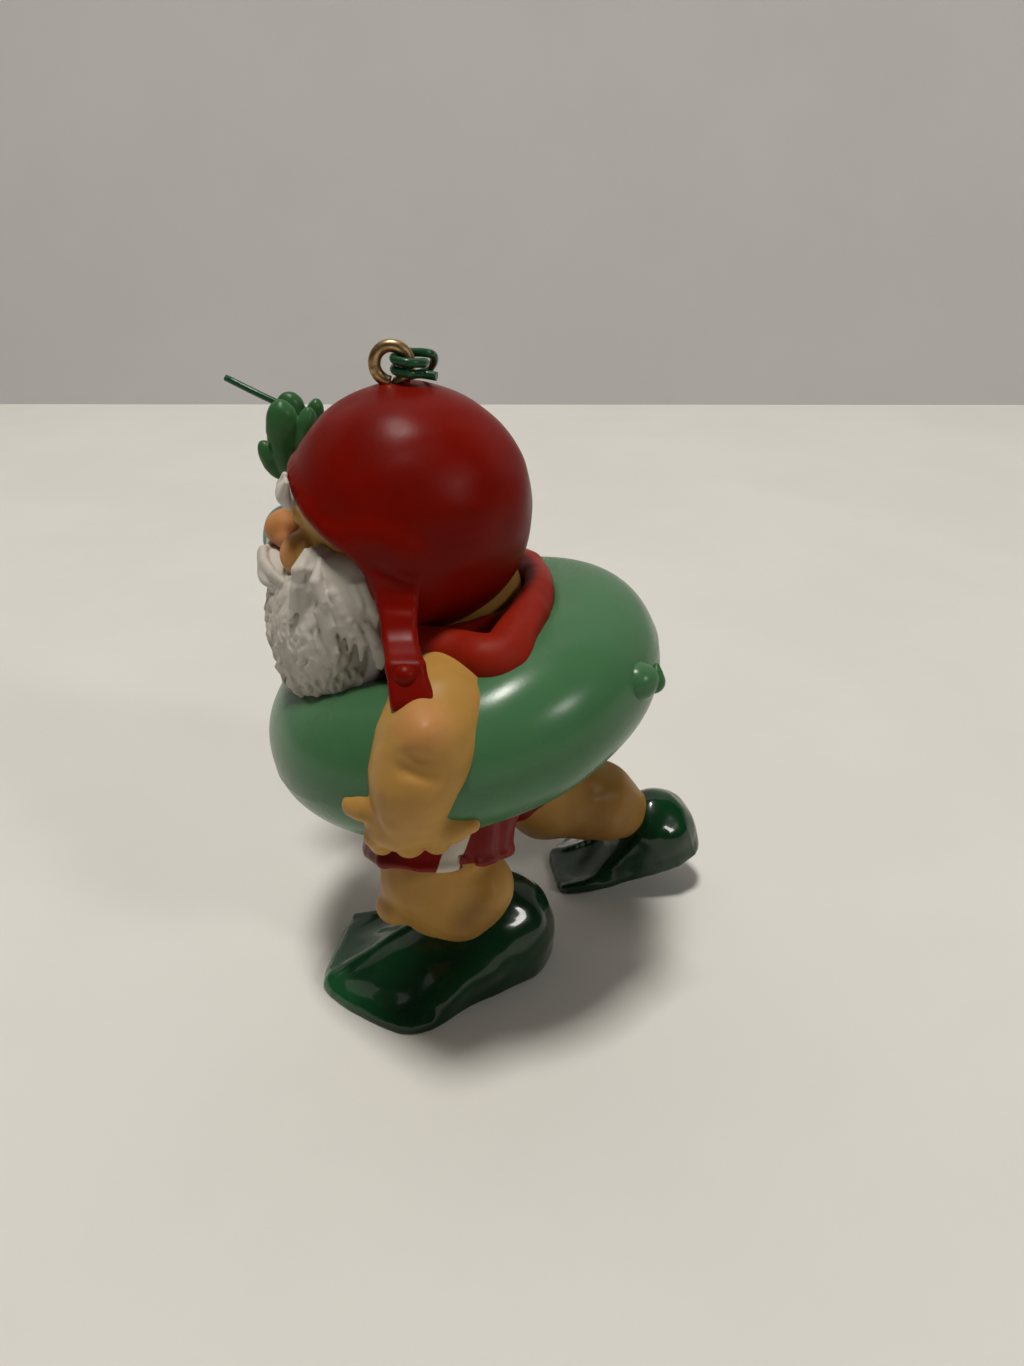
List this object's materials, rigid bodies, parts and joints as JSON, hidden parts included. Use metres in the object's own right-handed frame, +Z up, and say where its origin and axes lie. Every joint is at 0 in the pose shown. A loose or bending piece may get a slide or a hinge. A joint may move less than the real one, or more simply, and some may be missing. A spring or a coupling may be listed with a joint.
{
  "type": "hanging ornament",
  "caption": "Hanging ornament of a white-bearded swimmer in cap, vest, trunks and flippers, walking inside a swim ring, with an eye and a formed wire hanger.",
  "frame": {"origin": "on the surface it stands on, in the middle of the whole ornament's plan", "axes": "+Z up, the figure faces -Y, its left side is +X"},
  "size_m": [0.0578, 0.0684, 0.076],
  "materials": {
    "cap_red": "satin painted red",
    "vest_red": "matt painted red",
    "skin": "satin painted tan",
    "white_hair": "matt painted off-white",
    "ring_green": "satin painted sea green",
    "antler_green": "satin painted green",
    "muzzle_teal": "satin painted teal",
    "flipper_green": "glossy painted bottle green",
    "brass": "aged brass",
    "wire_green": "plastic-coated wire"
  },
  "bodies": {
    "figure": {"swim_ring": "ring_green", "ring_valve": "ring_green", "valve_stopper": "ring_green", "screw_eye": "brass", "torso": "skin", "vest": "vest_red", "trunks": "vest_red", "head": "skin", "cap": "cap_red", "cap_flap_left": "cap_red", "cap_flap_right": "cap_red", "snap_studs": "cap_red", "beard": "white_hair", "moustache": "white_hair", "eyebrows": "white_hair", "left_arm": "skin", "right_arm": "skin", "left_leg": "skin", "right_leg": "skin", "left_flipper": "flipper_green", "right_flipper": "flipper_green", "float_head": "ring_green", "float_muzzle": "muzzle_teal", "float_ears": "ring_green", "antler_left": "antler_green", "antler_right": "antler_green"},
    "hanger": {"hanger_wire": "wire_green"}
  },
  "joints": [
    {"name": "hanger_swing", "type": "hinge", "parent": "figure", "child": "hanger", "pos_m": [0.00156, -0.0067, 0.0736], "axis": [0, 0, 1], "range_deg": [-75, 3]}
  ]
}
